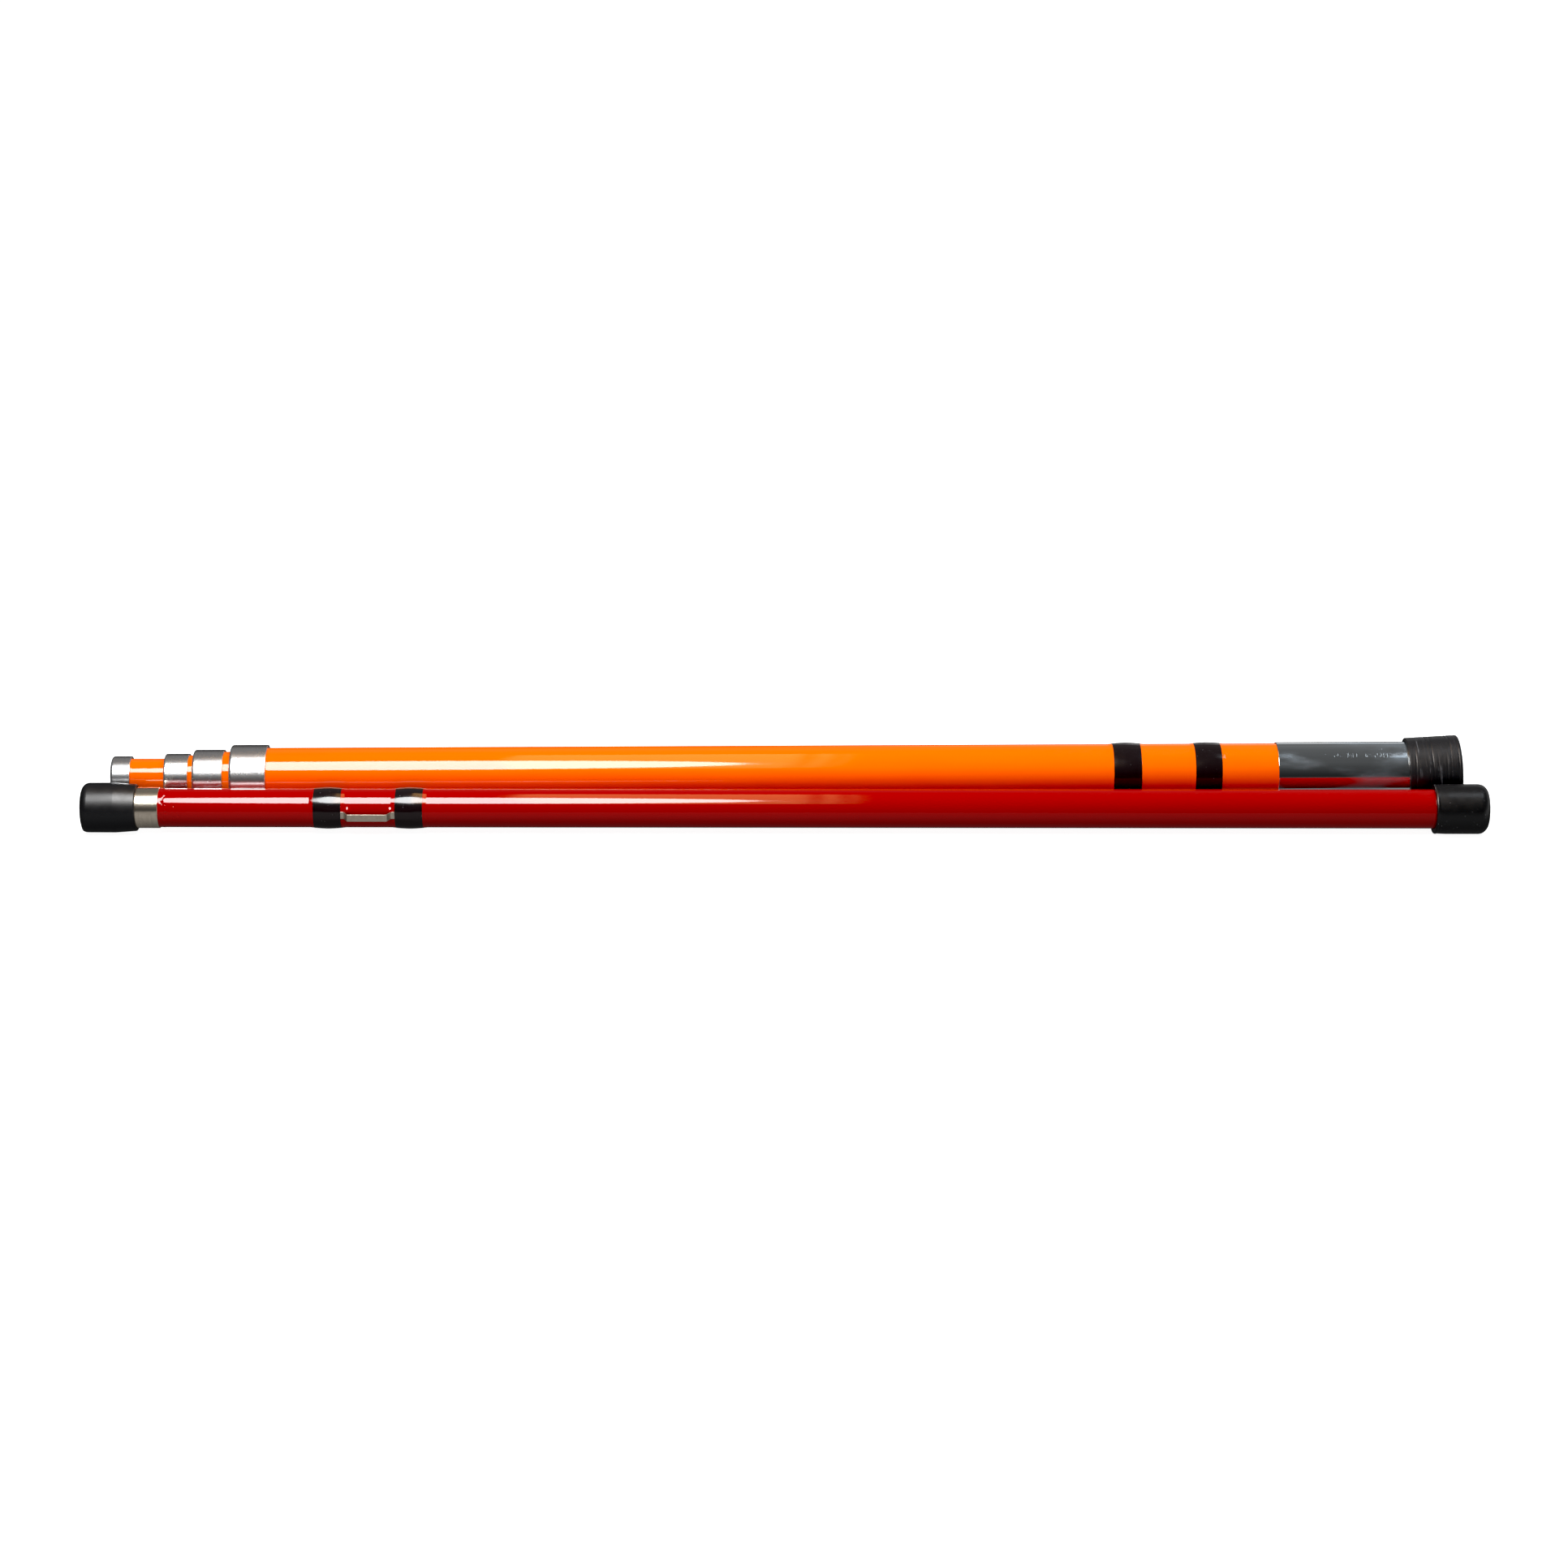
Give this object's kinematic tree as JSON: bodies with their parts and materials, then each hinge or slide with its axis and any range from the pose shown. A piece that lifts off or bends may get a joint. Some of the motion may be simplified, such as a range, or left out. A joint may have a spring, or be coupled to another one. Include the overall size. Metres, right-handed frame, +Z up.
{
  "type": "telescopic pole pair",
  "caption": "Slim and thick telescopic fibreglass survey poles side by side, with mouth collars, rubber caps, taped strap loops and internal twist locks.",
  "frame": {"origin": "on the floor under the middle of the pair, the bottom centre of its box", "axes": "+X along the poles from their mouths to their butts, +Y from the slim pole to the thick one, +Z up"},
  "size_m": [1.0416, 0.0952, 0.0526],
  "materials": {
    "orange_gelcoat": "gloss pigmented gel coat on fibreglass",
    "red_gelcoat": "gloss pigmented gel coat on fibreglass",
    "collar_aluminium": "turned and brushed round",
    "ring_nickel": "brushed, warm nickel tone",
    "sleeve_steel": "polished, smudged",
    "cap_rubber": "matt moulded",
    "cap_vinyl": "dipped soft vinyl, semi-gloss",
    "tape_vinyl": "gloss vinyl tape",
    "strip_steel": "rolled stainless strip",
    "plug_nylon": "turned nylon",
    "expander_nylon": "moulded nylon",
    "screw_steel": "zinc plated",
    "nut_brass": "turned brass"
  },
  "bodies": {
    "red_pole": {"red_outer_tube": "red_gelcoat", "red_collar_1": "ring_nickel", "red_tape_front": "tape_vinyl", "red_tape_rear": "tape_vinyl", "red_strap_loop": "strip_steel"},
    "red_mouth_cap": {"red_mouth_cap": "cap_rubber"},
    "red_butt_cap": {"red_butt_cap": "cap_vinyl"},
    "orange_pole": {"orange_outer_tube": "orange_gelcoat", "orange_collar_1": "collar_aluminium", "orange_butt_sleeve": "sleeve_steel", "orange_tape_front": "tape_vinyl", "orange_tape_rear": "tape_vinyl", "orange_strap_loop": "strip_steel"},
    "orange_butt_cap": {"orange_butt_cap": "cap_rubber"},
    "red_section_2": {"red_section_2": "red_gelcoat", "red_collar_2": "collar_aluminium", "red_lock_plug_2": "plug_nylon", "red_lock_screw_2": "screw_steel"},
    "red_expander_2": {"red_expander_2": "expander_nylon"},
    "red_cone_nut_2": {"red_cone_nut_2": "nut_brass"},
    "red_section_3": {"red_section_3": "red_gelcoat", "red_ferrule_3": "collar_aluminium", "red_lock_plug_3": "plug_nylon", "red_lock_screw_3": "screw_steel"},
    "red_expander_3": {"red_expander_3": "expander_nylon"},
    "red_cone_nut_3": {"red_cone_nut_3": "nut_brass"},
    "orange_section_2": {"orange_section_2": "orange_gelcoat", "orange_collar_2": "collar_aluminium", "orange_lock_plug_2": "plug_nylon", "orange_lock_screw_2": "screw_steel"},
    "orange_expander_2": {"orange_expander_2": "expander_nylon"},
    "orange_cone_nut_2": {"orange_cone_nut_2": "nut_brass"},
    "orange_section_3": {"orange_section_3": "orange_gelcoat", "orange_collar_3": "collar_aluminium", "orange_lock_plug_3": "plug_nylon", "orange_lock_screw_3": "screw_steel"},
    "orange_expander_3": {"orange_expander_3": "expander_nylon"},
    "orange_cone_nut_3": {"orange_cone_nut_3": "nut_brass"},
    "orange_section_4": {"orange_section_4": "orange_gelcoat", "orange_ferrule_4": "collar_aluminium", "orange_lock_plug_4": "plug_nylon", "orange_lock_screw_4": "screw_steel"},
    "orange_expander_4": {"orange_expander_4": "expander_nylon"},
    "orange_cone_nut_4": {"orange_cone_nut_4": "nut_brass"}
  },
  "joints": [
    {"name": "orange_set_apart", "type": "slide", "parent": "red_pole", "child": "orange_pole", "axis": [0, 1, 0], "range_m": [0, 0.15]},
    {"name": "red_mouth_cap_pull", "type": "slide", "parent": "red_section_3", "child": "red_mouth_cap", "axis": [-1, 0, 0], "range_m": [0, 0.06]},
    {"name": "red_butt_cap_pull", "type": "slide", "parent": "red_pole", "child": "red_butt_cap", "axis": [1, 0, 0], "range_m": [0, 0.06]},
    {"name": "orange_butt_cap_pull", "type": "slide", "parent": "orange_pole", "child": "orange_butt_cap", "axis": [0.9999, 0.01, 0.0014], "range_m": [0, 0.06]},
    {"name": "red_section_2_extend", "type": "slide", "parent": "red_pole", "child": "red_expander_2", "axis": [-1, 0, 0], "range_m": [0, 0.83]},
    {"name": "red_section_2_twist", "type": "hinge", "parent": "red_expander_2", "child": "red_section_2", "pos_m": [0, -0.02711, 0.0185], "axis": [1, 0, 0], "range_deg": [0, 300]},
    {"name": "red_cone_nut_2_draw", "type": "slide", "parent": "red_expander_2", "child": "red_cone_nut_2", "axis": [-1, 0, 0], "range_m": [0, 0.00085]},
    {"name": "red_section_3_extend", "type": "slide", "parent": "red_section_2", "child": "red_expander_3", "axis": [-1, 0, 0], "range_m": [0, 0.79]},
    {"name": "red_section_3_twist", "type": "hinge", "parent": "red_expander_3", "child": "red_section_3", "pos_m": [0, -0.02711, 0.0185], "axis": [1, 0, 0], "range_deg": [0, 300]},
    {"name": "red_cone_nut_3_draw", "type": "slide", "parent": "red_expander_3", "child": "red_cone_nut_3", "axis": [-1, 0, 0], "range_m": [0, 0.00085]},
    {"name": "orange_section_2_extend", "type": "slide", "parent": "orange_pole", "child": "orange_expander_2", "axis": [-0.9999, -0.01, -0.0014], "range_m": [0, 0.74]},
    {"name": "orange_section_2_twist", "type": "hinge", "parent": "orange_expander_2", "child": "orange_section_2", "pos_m": [-0.00002, 0.01703, 0.02449], "axis": [0.9999, 0.01, 0.0014], "range_deg": [0, 300]},
    {"name": "orange_cone_nut_2_draw", "type": "slide", "parent": "orange_expander_2", "child": "orange_cone_nut_2", "axis": [-0.9999, -0.01, -0.0014], "range_m": [0, 0.00085]},
    {"name": "orange_section_3_extend", "type": "slide", "parent": "orange_section_2", "child": "orange_expander_3", "axis": [-0.9999, -0.01, -0.0014], "range_m": [0, 0.72]},
    {"name": "orange_section_3_twist", "type": "hinge", "parent": "orange_expander_3", "child": "orange_section_3", "pos_m": [-0.00002, 0.01703, 0.02449], "axis": [0.9999, 0.01, 0.0014], "range_deg": [0, 300]},
    {"name": "orange_cone_nut_3_draw", "type": "slide", "parent": "orange_expander_3", "child": "orange_cone_nut_3", "axis": [-0.9999, -0.01, -0.0014], "range_m": [0, 0.00085]},
    {"name": "orange_section_4_extend", "type": "slide", "parent": "orange_section_3", "child": "orange_expander_4", "axis": [-0.9999, -0.01, -0.0014], "range_m": [0, 0.69]},
    {"name": "orange_section_4_twist", "type": "hinge", "parent": "orange_expander_4", "child": "orange_section_4", "pos_m": [-0.00002, 0.01703, 0.02449], "axis": [0.9999, 0.01, 0.0014], "range_deg": [0, 300]},
    {"name": "orange_cone_nut_4_draw", "type": "slide", "parent": "orange_expander_4", "child": "orange_cone_nut_4", "axis": [-0.9999, -0.01, -0.0014], "range_m": [0, 0.00085]}
  ],
  "couplings": [
    {"joint": "red_cone_nut_2_draw", "follows": "red_section_2_twist", "m_per_rad": 0.00015915},
    {"joint": "red_cone_nut_3_draw", "follows": "red_section_3_twist", "m_per_rad": 0.00015915},
    {"joint": "orange_cone_nut_2_draw", "follows": "orange_section_2_twist", "m_per_rad": 0.00015915},
    {"joint": "orange_cone_nut_3_draw", "follows": "orange_section_3_twist", "m_per_rad": 0.00015915},
    {"joint": "orange_cone_nut_4_draw", "follows": "orange_section_4_twist", "m_per_rad": 0.00015915}
  ]
}
